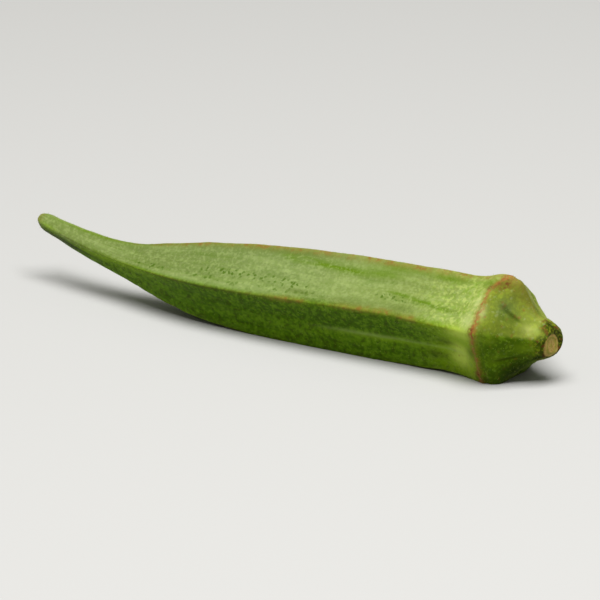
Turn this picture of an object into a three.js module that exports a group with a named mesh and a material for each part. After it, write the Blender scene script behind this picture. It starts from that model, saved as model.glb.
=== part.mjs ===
/*
 * Okra pod, as picked, lying on one of its five faces.
 *
 * Millimetres, +Z up, and z = 0 is the surface the pod lies on. The pod runs along X, with
 * its pointed tip towards -X and its cut stem towards +X. It grew as one piece, so it is one
 * solid: a ridged skin that follows a gently curved centreline, from the stem's cut face,
 * over the domed cap and its raised rim, along the five-sided body and out to the beak's tip.
 *
 * "Distance" is always measured along the centreline, back from the stem's cut face.
 */
import * as THREE from 'three';

// ---------------------------------------------------------------- driving dimensions, mm

// Four points steer the centreline. The body is nearly straight and sinks a little as it
// gets thinner, and the beak then lifts and sweeps to one side.
const STEM_END = new THREE.Vector3(66.1, 0.3, 9.55);
const BODY_PULL = new THREE.Vector3(-18.9, 0.3, 8.88);
const BEAK_PULL = new THREE.Vector3(-26.4, -6.8, 5.65);
const TIP_END = new THREE.Vector3(-66.1, 1.6, 13);

// Outline of the ridges: [distance, ridge radius], over the stem and the cap to the rim, then
// along the body and the beak to where the tip starts to round off.
const RIM_DISTANCE = 12.5;
const RIDGE_OUTLINE = [
  [0, 2.5], [0.35, 2.95], [1.2, 3.7], [2.6, 4.4], [4, 4.9], [5.4, 6.25],
  [6.8, 7.65], [8.2, 9.15], [9.6, 10.8], [11.1, 11.7], [RIM_DISTANCE, 11.85],
  [14.2, 11.85], [18, 10.95], [22.6, 10.5], [30, 10.65], [41, 10.8], [57, 10.5],
  [71, 9.75], [83, 8.5], [93, 6.6], [103, 4.4], [113, 3.15], [122, 2.5], [129, 2.05],
];

// The rim is the low welt that the fallen flower leaves round the cap.
const RIM_HEIGHT = 0.35;
const RIM_HALF_WIDTH = 0.45;

// The stem hangs a little: its centre sinks by this much below the centreline.
const STEM_DROOP = 0.45;
const DROOP_REACH = 16;

// The stem was cut a little aslant. The cut face turns towards -Y by this slope, and its
// middle lies this far behind the centreline's end; the skin beside it gives way.
const CUT_SLOPE = 0.2;
const CUT_SETBACK = 0.35;
const CUT_REACH = 4;

// Each face sinks between its two ridges, as a share of the ridge radius.
const STEM_HOLLOW = 0.03;
const CAP_HOLLOW = 0.12;
const BODY_HOLLOW = 0.195;
const TIP_HOLLOW = 0.1;

// How fast a face falls away from a ridge, and how round the ridge's crest is.
const RIDGE_STEEPNESS = 2.3;
const CREST_ROUNDING = 0.13;

// Ridge directions in degrees, turning from +Y towards +Z. The face between the last two
// looks straight down, and the pod lies on the ridges at its edges.
const RIDGE_ANGLES = [20, 94, 167, 236, 304];
// One ridge wanders: it leans aside by so many degrees near the stem, and then turns between
// one distance and the next, [from, to, degrees].
const WANDERING_RIDGE = 2;
const LEAN_AT_STEM = 3;
const WANDERS = [[18, 36, -3.4], [40, 70, 2.1], [70, 98, -1.7]];
// All ridges wind a little round the beak.
const BEAK_WIND = 9;
const WIND_STARTS = 62;
const WIND_LENGTH = 65;
const WIND_EASE = 1.3;

// The rim is not quite flat: at each ridge it is drawn this far towards the stem, and the
// skin on both sides of it follows.
const RIM_SHIFTS = [-1.6, 2.7, 0.4, -0.25, -0.9];
const SHIFT_SHARPNESS = 3.6;

// Where the skin swells: the callus behind the rim's corner, the full cheek of the cap, and a
// low knob on the topmost ridge. "Ridges passed" counts round the pod from the first ridge.
const SWELLINGS = [
  { distance: 15.4, halfLength: 2.3, ridgesPassed: 1, halfWidth: 0.14, height: 0.4 },
  { distance: 9.9, halfLength: 2.6, ridgesPassed: 2.75, halfWidth: 0.32, height: 0.6 },
  { distance: 24.5, halfLength: 4, ridgesPassed: 1, halfWidth: 0.16, height: 0.25 },
];

// Rings of skin points for each stretch of the outline, and points across each face.
const RINGS_PER_STRETCH = 3;
const TIP_RINGS = 6;
const POINTS_PER_FACE = 10;
const CREST_CROWDING = 0.6;

// ---------------------------------------------------------------- centreline and outline

function makeCentreline() {
  const curve = new THREE.CubicBezierCurve3(STEM_END, BODY_PULL, BEAK_PULL, TIP_END);
  curve.arcLengthDivisions = 2000;
  return curve;
}

const centreline = makeCentreline();
const podLength = centreline.getLength();

/** The blunt tip: a quarter of an ellipse closes what the outline leaves open. */
function tipOutline(tipStart) {
  const tipLength = podLength - tipStart.x;
  const quarter = new THREE.EllipseCurve(
    tipStart.x, 0, tipLength, tipStart.y, Math.PI / 2, 0, true,
  );
  return quarter.getSpacedPoints(TIP_RINGS);
}

/** Every ring's distance (x) and ridge radius (y), except the two end points. */
function ringOutline() {
  const corners = RIDGE_OUTLINE.map(([distance, radius]) => new THREE.Vector2(distance, radius));
  const stretches = corners.length - 1;
  const pod = new THREE.SplineCurve(corners).getPoints(stretches * RINGS_PER_STRETCH);
  const tip = tipOutline(corners.at(-1));
  return [...pod, ...tip.slice(1, -1)];
}

// ---------------------------------------------------------------- five-sided section

function hollowAt(distance) {
  const { smoothstep } = THREE.MathUtils;
  const cap = (CAP_HOLLOW - STEM_HOLLOW) * smoothstep(distance, 0, 9);
  const body = (BODY_HOLLOW - CAP_HOLLOW) * smoothstep(distance, RIM_DISTANCE - 0.8, 19);
  const tip = (BODY_HOLLOW - TIP_HOLLOW) * smoothstep(distance, 92, podLength);
  return STEM_HOLLOW + cap + body - tip;
}

/** Share of the ridge radius left at one place across a face: 0 and 1 are its ridges. */
function sectionShare(across, hollow) {
  const fromRidge = 1 - Math.abs(2 * across - 1);
  const rounded = Math.hypot(fromRidge, CREST_ROUNDING) - CREST_ROUNDING;
  const eased = rounded / (Math.hypot(1, CREST_ROUNDING) - CREST_ROUNDING);
  return 1 - hollow * (1 - (1 - eased) ** RIDGE_STEEPNESS);
}

/** A soft bump: 1 at its middle, and about a third at half its width from there. */
function bump(value, middle, halfWidth) {
  return Math.exp(-(((value - middle) / halfWidth) ** 2));
}

/** Degrees that the wandering ridge lies aside at some distance. */
function wanderAt(distance) {
  const turned = WANDERS.map(
    ([from, to, degrees]) => degrees * THREE.MathUtils.smoothstep(distance, from, to),
  );
  return turned.reduce((sum, degrees) => sum + degrees, LEAN_AT_STEM);
}

/** Direction of a ridge at some distance; ridge 5 is ridge 0 after a full turn. */
function ridgeAngle(ridge, distance) {
  const index = ridge % RIDGE_ANGLES.length;
  const fullTurns = 360 * Math.floor(ridge / RIDGE_ANGLES.length);
  const wander = index === WANDERING_RIDGE ? wanderAt(distance) : 0;
  const wind = THREE.MathUtils.clamp((distance - WIND_STARTS) / WIND_LENGTH, 0, 1);
  const degrees = RIDGE_ANGLES[index] + wander + BEAK_WIND * wind ** WIND_EASE;
  return THREE.MathUtils.degToRad(degrees + fullTurns);
}

/** How far the skin is drawn towards the stem at one place across a face. */
function rimShift(face, across, distance) {
  const { smoothstep } = THREE.MathUtils;
  const from = RIM_SHIFTS[face] * (1 - across) ** SHIFT_SHARPNESS;
  const to = RIM_SHIFTS[(face + 1) % RIM_SHIFTS.length] * across ** SHIFT_SHARPNESS;
  const near = smoothstep(distance, 3, 11) * (1 - smoothstep(distance, 14, 26));
  return (from + to) * near;
}

/** How far the skin swells out at one place. */
function swellingAt(distance, ridgesPassed) {
  const heights = SWELLINGS.map((swelling) => {
    const along = bump(distance, swelling.distance, swelling.halfLength);
    const round = bump(ridgesPassed, swelling.ridgesPassed, swelling.halfWidth);
    return swelling.height * along * round;
  });
  return heights.reduce((sum, height) => sum + height, 0);
}

/** How far the slanting cut moves the skin towards the stem's end. */
function cutShift(sideways, distance) {
  const near = 1 - THREE.MathUtils.smoothstep(distance, 0, CUT_REACH);
  return (CUT_SLOPE * sideways - CUT_SETBACK) * near;
}

/** Places across a face from one ridge to the next, crowded towards both ridges. */
function placesAcrossFace() {
  const places = [];
  for (let i = 0; i < POINTS_PER_FACE; i += 1) {
    const even = i / POINTS_PER_FACE;
    const pull = (CREST_CROWDING * Math.sin(2 * Math.PI * even)) / (2 * Math.PI);
    places.push(even - pull);
  }
  return places;
}

// ---------------------------------------------------------------- skin

/** A section's centre, and its axes: sideways, up and towards the stem. */
function sectionFrame(distance) {
  const share = THREE.MathUtils.clamp(distance / podLength, 0, 1);
  const centre = centreline.getPointAt(share);
  centre.z -= STEM_DROOP * (1 - THREE.MathUtils.smoothstep(distance, 0, DROOP_REACH));
  const toStem = centreline.getTangentAt(share).negate();
  const side = new THREE.Vector3(0, 0, 1).cross(toStem).normalize();
  const up = new THREE.Vector3().crossVectors(toStem, side);
  return { centre, side, up, toStem };
}

/** A little of each lower ridge is pressed flat where the pod lies on the surface. */
function restOnSurface(point) {
  point.z = Math.max(point.z, 0);
  return point;
}

/** One closed ring of points round the pod. */
function skinRing({ x: distance, y: outlineRadius }) {
  const { centre, side, up, toStem } = sectionFrame(distance);
  const welt = RIM_HEIGHT * bump(distance, RIM_DISTANCE, RIM_HALF_WIDTH);
  const ridgeRadius = outlineRadius + welt;
  const hollow = hollowAt(distance);
  const ring = [];
  for (let face = 0; face < RIDGE_ANGLES.length; face += 1) {
    for (const across of placesAcrossFace()) {
      const from = ridgeAngle(face, distance);
      const to = ridgeAngle(face + 1, distance);
      const angle = THREE.MathUtils.lerp(from, to, across);
      const swelling = swellingAt(distance, face + across);
      const radius = ridgeRadius * sectionShare(across, hollow) + swelling;
      const sideways = radius * Math.cos(angle);
      const shift = rimShift(face, across, distance) + cutShift(sideways, distance);
      const point = centre.clone();
      point.addScaledVector(side, sideways);
      point.addScaledVector(up, radius * Math.sin(angle));
      point.addScaledVector(toStem, shift);
      ring.push(restOnSurface(point));
    }
  }
  return ring;
}

/** Triangles that fan round both end points and join each ring to the next. */
function skinTriangles(ringCount, ringSize) {
  const tip = 1 + ringCount * ringSize;
  const triangles = [];
  for (let j = 0; j < ringSize; j += 1) {
    const next = (j + 1) % ringSize;
    const last = 1 + (ringCount - 1) * ringSize;
    triangles.push(0, 1 + j, 1 + next);
    triangles.push(tip, last + next, last + j);
    for (let i = 0; i < ringCount - 1; i += 1) {
      const here = 1 + i * ringSize;
      const beyond = here + ringSize;
      triangles.push(here + j, beyond + j, here + next);
      triangles.push(here + next, beyond + j, beyond + next);
    }
  }
  return triangles;
}

function middleOfCut() {
  const { centre, toStem } = sectionFrame(0);
  return centre.addScaledVector(toStem, cutShift(0, 0));
}

function makePodGeometry() {
  const rings = ringOutline().map(skinRing);
  const points = [middleOfCut(), ...rings.flat(), TIP_END];
  const geometry = new THREE.BufferGeometry().setFromPoints(points);
  geometry.setIndex(skinTriangles(rings.length, rings[0].length));
  geometry.computeBoundingBox();
  const middle = geometry.boundingBox.getCenter(new THREE.Vector3());
  geometry.translate(-middle.x, -middle.y, 0);
  geometry.computeVertexNormals();
  return geometry;
}

function makePod() {
  const skin = new THREE.MeshStandardMaterial({
    color: 0x86a04e,
    roughness: 0.6,
    metalness: 0,
  });
  const pod = new THREE.Mesh(makePodGeometry(), skin);
  pod.name = 'okra_pod';
  return pod;
}

const okra = new THREE.Group();
okra.add(makePod());

export default okra;
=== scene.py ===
# %% [markdown]
# # An okra pod, picked and laid down
#
# An okra pod is one natural thing: a short cut stem, a domed cap with a raised rim where the
# flower fell off, five long ridged faces, and a curved beak. All of it is a five-sided section
# that travels along a bent line, a rule that Geometry Nodes can follow. The looks come from
# fine relief, from a skin material that knows where on the pod it is, and from tiny hairs.
#
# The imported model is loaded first. It is never moved: everything here is fitted to it.

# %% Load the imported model
from bisect import bisect_right
from functools import partialmethod
import math
import bpy
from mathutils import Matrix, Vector

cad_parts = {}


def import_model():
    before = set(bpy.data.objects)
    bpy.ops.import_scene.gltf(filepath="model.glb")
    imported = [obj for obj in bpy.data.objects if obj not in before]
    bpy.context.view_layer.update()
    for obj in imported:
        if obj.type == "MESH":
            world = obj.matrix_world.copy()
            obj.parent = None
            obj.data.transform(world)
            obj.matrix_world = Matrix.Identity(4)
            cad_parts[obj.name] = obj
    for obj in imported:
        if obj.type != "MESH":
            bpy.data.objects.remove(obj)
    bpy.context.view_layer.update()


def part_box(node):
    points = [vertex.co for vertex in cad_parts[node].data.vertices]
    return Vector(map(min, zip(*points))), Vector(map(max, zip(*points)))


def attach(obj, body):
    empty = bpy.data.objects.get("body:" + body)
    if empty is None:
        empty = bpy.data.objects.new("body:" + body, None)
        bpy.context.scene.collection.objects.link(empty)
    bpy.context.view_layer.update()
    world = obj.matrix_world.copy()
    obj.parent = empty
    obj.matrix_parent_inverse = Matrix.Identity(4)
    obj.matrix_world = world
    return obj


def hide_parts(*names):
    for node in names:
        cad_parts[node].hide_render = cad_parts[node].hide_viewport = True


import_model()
pod_low, pod_high = (Vector(corner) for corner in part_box("okra_pod"))
print("pod, mm:", [round(size * 1000, 1) for size in pod_high - pod_low])

# %% [markdown]
# ## The line that the pod grows along
#
# A pod could be modelled straight and bent afterwards, but a Bezier line is easier to steer:
# four points place the stem, the belly and the beak. Sizes are in metres, so a value in
# millimetres is multiplied by MM where it is written.

# %% Centreline
MM = 0.001
STEM_END = Vector((66.1, 0.3, 9.55)) * MM
BODY_PULL = Vector((-18.9, 0.3, 8.88)) * MM
BEAK_PULL = Vector((-26.4, -6.8, 5.65)) * MM
TIP_END = Vector((-66.1, 1.6, 13)) * MM
CENTRELINE_STEPS = 2000


def bezier_point(t):
    """A point on the centreline, from the stem's end (t = 0) to the tip (t = 1)."""
    s = 1 - t
    return (STEM_END * s**3 + BODY_PULL * (3 * s * s * t)
            + BEAK_PULL * (3 * s * t * t) + TIP_END * t**3)


def bezier_direction(t):
    """The direction back towards the stem at t."""
    s = 1 - t
    along = ((BODY_PULL - STEM_END) * (s * s) + (BEAK_PULL - BODY_PULL) * (2 * s * t)
             + (TIP_END - BEAK_PULL) * (t * t))
    return -along.normalized()


def centreline_distances():
    """Distance from the stem's end at every small step of t."""
    distances = [0.0]
    for part in range(CENTRELINE_STEPS):
        here = bezier_point(part / CENTRELINE_STEPS)
        there = bezier_point((part + 1) / CENTRELINE_STEPS)
        distances.append(distances[-1] + (there - here).length)
    return distances


step_distances = centreline_distances()
pod_length = step_distances[-1]


def t_at(distance):
    """The t of a point that lies this far along the centreline."""
    low = min(bisect_right(step_distances, distance), CENTRELINE_STEPS) - 1
    here, there = step_distances[low:low + 2]
    share = min(max((distance - here) / (there - here), 0.0), 1.0)
    return (low + share) / CENTRELINE_STEPS


print(f"centreline: {pod_length / MM:.1f} mm")

# %% [markdown]
# ## The outline of the ridges
#
# How thick the pod is at each distance from the stem's cut face decides most of its
# likeness: the stem, the dome, the rim, a slight waist, the belly and the long taper. A
# smooth curve through a handful of points is enough. The rings of the mesh are spaced evenly
# along it, closer on the small stem and cap than on the body.

# %% Outline
RIM_DISTANCE = 12.5 * MM
RIDGE_OUTLINE = [  # distance and ridge radius, mm
    (0, 2.5), (0.35, 2.95), (1.2, 3.7), (2.6, 4.4), (4.0, 4.9), (5.4, 6.25),
    (6.8, 7.65), (8.2, 9.15), (9.6, 10.8), (11.1, 11.7), (12.5, 11.85),
    (14.2, 11.85), (18, 10.95), (22.6, 10.5), (30, 10.65), (41, 10.8), (57, 10.5),
    (71, 9.75), (83, 8.5), (93, 6.6), (103, 4.4), (113, 3.15), (122, 2.5), (129, 2.05),
]
FINE_SPACING = 0.3 * MM
BODY_SPACING = 0.46 * MM
CUT_FACE_RINGS = 14
TIP_RINGS = 16


def smooth_through(last, start, end, following, share):
    """Catmull-Rom curve from start to end, smooth with the points on either side."""
    leave, arrive = (end - last) / 2, (following - start) / 2
    square, cube = share**2, share**3
    return ((2 * start - 2 * end + leave + arrive) * cube
            + (3 * end - 3 * start - 2 * leave - arrive) * square + leave * share + start)


def outline_rings():
    """Every ring's distance and ridge radius, from the cut face's centre to the tip."""
    corners = [Vector(corner) * MM for corner in RIDGE_OUTLINE]
    cut_radius = corners[0].y
    rings = [Vector((0, cut_radius * i / CUT_FACE_RINGS)) for i in range(CUT_FACE_RINGS)]
    for i, (start, end) in enumerate(zip(corners, corners[1:])):
        spacing = FINE_SPACING if end.x < 20 * MM else BODY_SPACING
        steps = max(2, math.ceil((end - start).length / spacing))
        last, following = corners[max(i - 1, 0)], corners[min(i + 2, len(corners) - 1)]
        for part in range(steps):
            rings.append(smooth_through(last, start, end, following, part / steps))
    tip_start, tip_radius = corners[-1]
    for i in range(TIP_RINGS + 1):
        turn = math.pi / 2 * i / TIP_RINGS
        rings.append(Vector((tip_start + (pod_length - tip_start) * math.sin(turn),
                             tip_radius * math.cos(turn))))
    rings[-1].y = 0.0
    return rings


pod_rings = outline_rings()
print("rings along the pod:", len(pod_rings))

# %% [markdown]
# ## The backbone
#
# At each ring the nodes need its centre, the way to the stem and how far the ridges reach. A
# line of points carries all of that as attributes: numbers and vectors stored on the points,
# which every later node can read by name.

# %% Backbone
def give_points(mesh, name, values):
    """Store a number or a vector on every point of a mesh."""
    if isinstance(values[0], Vector):
        attribute = mesh.attributes.new(name, "FLOAT_VECTOR", "POINT")
        attribute.data.foreach_set("vector", [part for value in values for part in value])
    else:
        attribute = mesh.attributes.new(name, "FLOAT", "POINT")
        attribute.data.foreach_set("value", values)


def add_object(name, data):
    """A new object in the scene."""
    thing = bpy.data.objects.new(name, data)
    bpy.context.scene.collection.objects.link(thing)
    return thing


def make_backbone():
    """A chain of points on the centreline, one for each ring, with what its ring needs."""
    mesh = bpy.data.meshes.new("okra_pod")
    places = [t_at(ring.x) for ring in pod_rings]
    centres = [bezier_point(t) for t in places]
    mesh.from_pydata(centres, [(i, i + 1) for i in range(len(centres) - 1)], [])
    give_points(mesh, "centre", centres)
    give_points(mesh, "toward_stem", [bezier_direction(t) for t in places])
    give_points(mesh, "distance", [ring.x for ring in pod_rings])
    give_points(mesh, "ridge_radius", [ring.y for ring in pod_rings])
    return add_object("okra_pod", mesh)


pod_skin = make_backbone()
print("backbone points:", len(pod_skin.data.vertices))

# %% [markdown]
# ## Writing node formulas in Python
#
# A formula takes one Math node for each sum, product or power, which is unreadable if each
# node is added by hand. This small class wraps a socket, so that `a * b + 1` adds the nodes
# and links them. It serves Geometry Nodes and materials alike, which share these nodes.

# %% A wire that does arithmetic
class Wire:
    """A number or vector in a node tree; each + - * / ** on it adds a node."""

    def __init__(self, tree, socket):
        self.tree = tree
        self.socket = socket

    def join(self, operation, *others):
        """Feed this wire and the others into one Math or Vector Math node."""
        parts = (self, *others)
        vectors = [is_vector(part) for part in parts]
        scales = operation == "MULTIPLY" and any(vectors) and not all(vectors)
        kind = "ShaderNodeVectorMath" if any(vectors) else "ShaderNodeMath"
        node = self.tree.nodes.new(kind)
        node.operation = "SCALE" if scales else operation
        sockets = [node.inputs[0], node.inputs["Scale"]] if scales else node.inputs
        for socket, part in zip(sockets, parts if vectors[0] or not scales else parts[::-1]):
            plug(self.tree, socket, part)
        return Wire(self.tree, next(output for output in node.outputs if output.enabled))

    __add__ = __radd__ = partialmethod(join, "ADD")
    __sub__ = partialmethod(join, "SUBTRACT")
    __mul__ = __rmul__ = partialmethod(join, "MULTIPLY")
    __truediv__ = partialmethod(join, "DIVIDE")
    __pow__ = partialmethod(join, "POWER")
    __neg__ = partialmethod(join, "MULTIPLY", -1)

    def __rsub__(self, other):
        return -self + other


print("wire signs: + - * / **")

# %% Nodes and their sockets
def is_vector(part):
    if isinstance(part, Wire):
        return part.socket.type in {"VECTOR", "RGBA"}
    return not isinstance(part, (int, float))


def plug(tree, socket, part):
    """Feed a wire into a socket, or type a plain value into it."""
    if isinstance(part, Wire):
        tree.links.new(part.socket, socket)
    else:
        socket.default_value = part


def add_node(tree, kind, inputs=None, **settings):
    """Add a node, set its options and feed its inputs, named or numbered."""
    node = tree.nodes.new(kind)
    for name, value in settings.items():
        setattr(node, name, value)
    for name, value in (inputs or {}).items():
        plug(tree, node.inputs[name], value)
    return node


def step(tree, kind, inputs=None, **settings):
    """Add one node and hand on its first output."""
    return Wire(tree, add_node(tree, kind, inputs, **settings).outputs[0])


def vector_of(tree, x, y, z):
    return step(tree, "ShaderNodeCombineXYZ", {0: x, 1: y, 2: z})


def parts_of(vector):
    node = add_node(vector.tree, "ShaderNodeSeparateXYZ", {0: vector})
    return [Wire(vector.tree, output) for output in node.outputs]


print("node helpers ready")

# %% [markdown]
# A few shapes come back again and again in the formulas below: a smooth step from 0 to 1, the
# same step between two marks along the pod, a soft bump round one value, a random cloud,
# scattered specks, and a choice by number. Marks, clouds and specks are in mm.

# %% Steps and bumps
def smooth_step(value, low, high):
    """0 below low, 1 above high, and smooth between; low above high turns it round."""
    ends = (low, high, 0.0, 1.0) if low < high else (high, low, 1.0, 0.0)
    inputs = dict(zip(("Value", "From Min", "From Max", "To Min", "To Max"), (value, *ends)))
    return step(value.tree, "ShaderNodeMapRange", inputs, interpolation_type="SMOOTHSTEP")


def beyond(distance, start, full):
    """0 up to the first mark, and 1 beyond the second."""
    return smooth_step(distance, start * MM, full * MM)


def before(distance, fading, end):
    """1 up to the first mark, and 0 beyond the second."""
    return smooth_step(distance, end * MM, fading * MM)


def stretch(distance, start, full, fading, end):
    """1 along one stretch of the pod, fading out at both ends."""
    return beyond(distance, start, full) * before(distance, fading, end)


def bump(value, centre, half_width):
    """1 at centre, falling softly to about a third at half_width from it."""
    away = (value - centre) / half_width
    return (-(away * away)).join("EXPONENT")


def spot(distance, ridges_passed, along, half_length, place, half_width):
    """A soft spot on the skin: marks along the pod in mm, marks round it in ridges passed."""
    return bump(distance, along * MM, half_length * MM) * bump(ridges_passed, place, half_width)


def at_most_one(value):
    return value.join("MINIMUM", 1.0)


def between(start, end, share):
    return start + (end - start) * share


print("steps and bumps ready")

# %% Random patterns, and a choice
def cloud(vector, size, detail=2.0):
    """Random values from 0 to 1 in soft lumps of about this size, in mm."""
    return step(vector.tree, "ShaderNodeTexNoise",
                {"Vector": vector, "Scale": 1 / (size * MM), "Detail": detail})


def specks(vector, size, share, seed):
    """Uneven dots, one to a cell of this size in mm, on about this share of the cells."""
    moved = vector + (seed, seed, seed)
    warped = moved + (cloud(moved, size * 0.8) - 0.5) * (size * MM)
    node = add_node(vector.tree, "ShaderNodeTexVoronoi",
                    {"Vector": warped, "Scale": 1 / (size * MM)})
    near = smooth_step(Wire(vector.tree, node.outputs["Distance"]), 0.55, 0.15)
    chance = parts_of(Wire(vector.tree, node.outputs["Color"]))[0]
    return near * smooth_step(chance, 1 - share, 1.15 - share)


def lumpy(vector, size, low, high, detail=2.0):
    """The lumps of a random cloud, cut off softly between the two levels."""
    return smooth_step(cloud(vector, size, detail), low, high)


def choose(tree, index, numbers):
    """The number that stands at place index in the list."""
    node = add_node(tree, "GeometryNodeIndexSwitch", data_type="FLOAT")
    while len(node.index_switch_items) < len(numbers):
        node.index_switch_items.new()
    plug(tree, node.inputs[0], index)
    for socket, number in zip(node.inputs[1:], numbers):
        socket.default_value = number
    return Wire(tree, node.outputs[0])


print("random patterns ready")

# %% [markdown]
# ## A tree with named inputs
#
# A tree is a recipe, and its inputs are the sizes that a maker would want to change. The
# modifier that runs it stores each input under a hidden identifier, so a value is set by
# looking the identifier up from the name. Every tree ends the same way, in `end_tree`.

# %% Geometry Nodes helpers
SOCKET_KINDS = {float: "NodeSocketFloat", int: "NodeSocketInt"}


def new_tree(name, inputs):
    """An empty tree, and a wire or socket for its geometry and each named input."""
    tree = bpy.data.node_groups.new(name, "GeometryNodeTree")
    for way in ("INPUT", "OUTPUT"):
        tree.interface.new_socket("Geometry", in_out=way, socket_type="NodeSocketGeometry")
    for label, value in inputs.items():
        kind = SOCKET_KINDS.get(type(value), "NodeSocketMaterial")
        tree.interface.new_socket(label, in_out="INPUT", socket_type=kind)
    entry = tree.nodes.new("NodeGroupInput")
    return tree, {socket.name: Wire(tree, socket) for socket in entry.outputs if socket.name}


def run_tree(thing, tree, inputs):
    """Give the object the tree as a modifier, with its inputs set, and keep the plain mesh."""
    grower = thing.modifiers.new(tree.name, "NODES")
    grower.node_group = tree
    for item in tree.interface.items_tree:
        if item.in_out == "INPUT" and item.name in inputs:
            grower[item.identifier] = inputs[item.name]
    depsgraph = bpy.context.evaluated_depsgraph_get()
    grown = bpy.data.meshes.new_from_object(
        thing.evaluated_get(depsgraph), preserve_all_data_layers=True, depsgraph=depsgraph)
    thing.modifiers.remove(grower)
    grown.name = thing.name
    thing.data = grown


def named(tree, name, kind="FLOAT"):
    """An attribute of the geometry, as a wire."""
    return step(tree, "GeometryNodeInputNamedAttribute", {"Name": name}, data_type=kind)


def store(tree, geometry, name, value, kind="FLOAT"):
    """Write a value on every point of the geometry, under a name."""
    return step(tree, "GeometryNodeStoreNamedAttribute",
                {"Geometry": geometry, "Name": name, "Value": value},
                data_type=kind, domain="POINT")


def rest_on_floor(tree, geometry):
    """Lift whatever would sink below z = 0."""
    x, y, z = parts_of(step(tree, "GeometryNodeInputPosition"))
    lifted = vector_of(tree, x, y, z.join("MAXIMUM", 0.0))
    return step(tree, "GeometryNodeSetPosition", {"Geometry": geometry, "Position": lifted})


def end_tree(tree, geometry, material):
    """Make every copy real, keep it above the floor, give it its material, hand it on."""
    real = step(tree, "GeometryNodeRealizeInstances", {"Geometry": geometry})
    real = rest_on_floor(tree, real)
    real = step(tree, "GeometryNodeSetMaterial", {"Geometry": real, "Material": material})
    leave = tree.nodes.new("NodeGroupOutput")
    plug(tree, leave.inputs[0], real)


print("tree helpers ready")

# %% [markdown]
# ## The five-sided section
#
# Between two ridges the skin sinks a little, so a cut through the pod is a pentagon with soft
# corners and slightly hollow sides. One formula gives the section at every distance: `across`
# runs from 0 at one ridge to 1 at the next, and `hollow` says how deep the face sinks, almost
# nothing round the stem and the tip, and deepest along the body.
#
# Curve to Mesh joins the rings into one skin, and Set Position then moves every point to
# where the formula wants it.

# %% Hollow faces
STEM_HOLLOW = 0.03
CAP_HOLLOW = 0.12
BODY_HOLLOW = 0.195
TIP_HOLLOW = 0.1
RIDGE_STEEPNESS = 2.3
CREST_ROUNDING = 0.13


def hollow_at(distance):
    cap = beyond(distance, 0, 9) * (CAP_HOLLOW - STEM_HOLLOW)
    body = beyond(distance, 11.7, 19) * (BODY_HOLLOW - CAP_HOLLOW)
    tip = smooth_step(distance, 92 * MM, pod_length) * (BODY_HOLLOW - TIP_HOLLOW)
    return STEM_HOLLOW + cap + body - tip


def section_share(from_ridge, hollow):
    """Share of the ridge radius that is left, from a ridge (0) to a face's middle (1)."""
    rounded = (from_ridge**2 + CREST_ROUNDING**2).join("SQRT") - CREST_ROUNDING
    eased = rounded / (math.hypot(1, CREST_ROUNDING) - CREST_ROUNDING)
    return 1 - hollow * (1 - (1 - eased)**RIDGE_STEEPNESS)


print("faces sink by up to", BODY_HOLLOW, "of the ridge radius")

# %% Ridges
RIDGE_ANGLES = [20, 94, 167, 236, 304, 380]  # degrees, and the first ridge again
WANDERING_RIDGE = 2
LEAN_AT_STEM = 3.0  # degrees, of the ridge that wanders
WANDERS = [(18, 36, -3.4), (40, 70, 2.1), (70, 98, -1.7)]  # from and to, mm, and degrees
BEAK_WIND = 9  # degrees, that all ridges wind round the beak
WIND_START = 62 * MM
WIND_LENGTH = 65 * MM
WIND_EASING = 1.3


def ridge_angle(distance, ridge):
    """Direction of a numbered ridge, in degrees; one of them wanders a little."""
    aside = LEAN_AT_STEM
    for start, end, degrees in WANDERS:
        aside = beyond(distance, start, end) * degrees + aside
    wanders = ridge.join("COMPARE", WANDERING_RIDGE, 0.5)
    return choose(distance.tree, ridge, RIDGE_ANGLES) + wanders * aside


def section_angle(distance, face, across):
    """Direction of a point on the skin, in radians."""
    turned = between(ridge_angle(distance, face), ridge_angle(distance, face + 1), across)
    wind = at_most_one(((distance - WIND_START) / WIND_LENGTH).join("MAXIMUM", 0.0))
    return (turned + wind**WIND_EASING * BEAK_WIND).join("RADIANS")


print("ridges at", RIDGE_ANGLES[:-1], "degrees")

# %% Small departures from the rule
RIM_SHIFTS = [-1.6, 2.7, 0.4, -0.25, -0.9, -1.6]  # mm towards the stem, at each ridge
SHIFT_SHARPNESS = 3.6
SWELLINGS = [  # distance and half length, mm; ridges passed and half width; height, mm
    (15.4, 2.3, 1, 0.14, 0.4), (9.9, 2.6, 2.75, 0.32, 0.6), (24.5, 4, 1, 0.16, 0.25),
]
STEM_DROOP = 0.45 * MM
DROOP_REACH = 16 * MM
CUT_SLOPE = 0.2  # the cut face turns a little towards -Y
CUT_SETBACK = 0.35 * MM


def rim_shift(distance, face, across):
    """How far the skin is drawn towards the stem: the rim is not quite flat."""
    near = stretch(distance, 3, 11, 14, 26)
    start = choose(distance.tree, face, RIM_SHIFTS) * (1 - across)**SHIFT_SHARPNESS
    end = choose(distance.tree, face + 1, RIM_SHIFTS) * across**SHIFT_SHARPNESS
    return (start + end) * near * MM


def swelling(distance, ridges_passed):
    """The callus on the topmost ridge, the cap's full cheek and a low knob."""
    height = 0.0
    for *place, mm in SWELLINGS:
        height = height + spot(distance, ridges_passed, *place) * (mm * MM)
    return height


def cut_shift(distance, sideways):
    """How far the slanting cut moves the skin towards the stem's end."""
    return (sideways * CUT_SLOPE - CUT_SETBACK) * before(distance, 0, 4)


print("swellings:", len(SWELLINGS))

# %% [markdown]
# ## Relief
#
# A ridged form alone looks moulded. A real pod has a knobbly rib along each ridge, a fine
# seam down each face, lengthwise furrows, faint swellings over the seeds, a sunken line
# behind the rim, and creased hollows in the cap. They are a few tenths of a millimetre high
# and follow the skin, so the random clouds they are built from are read on the unrolled skin,
# where they can be drawn out lengthwise.

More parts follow.
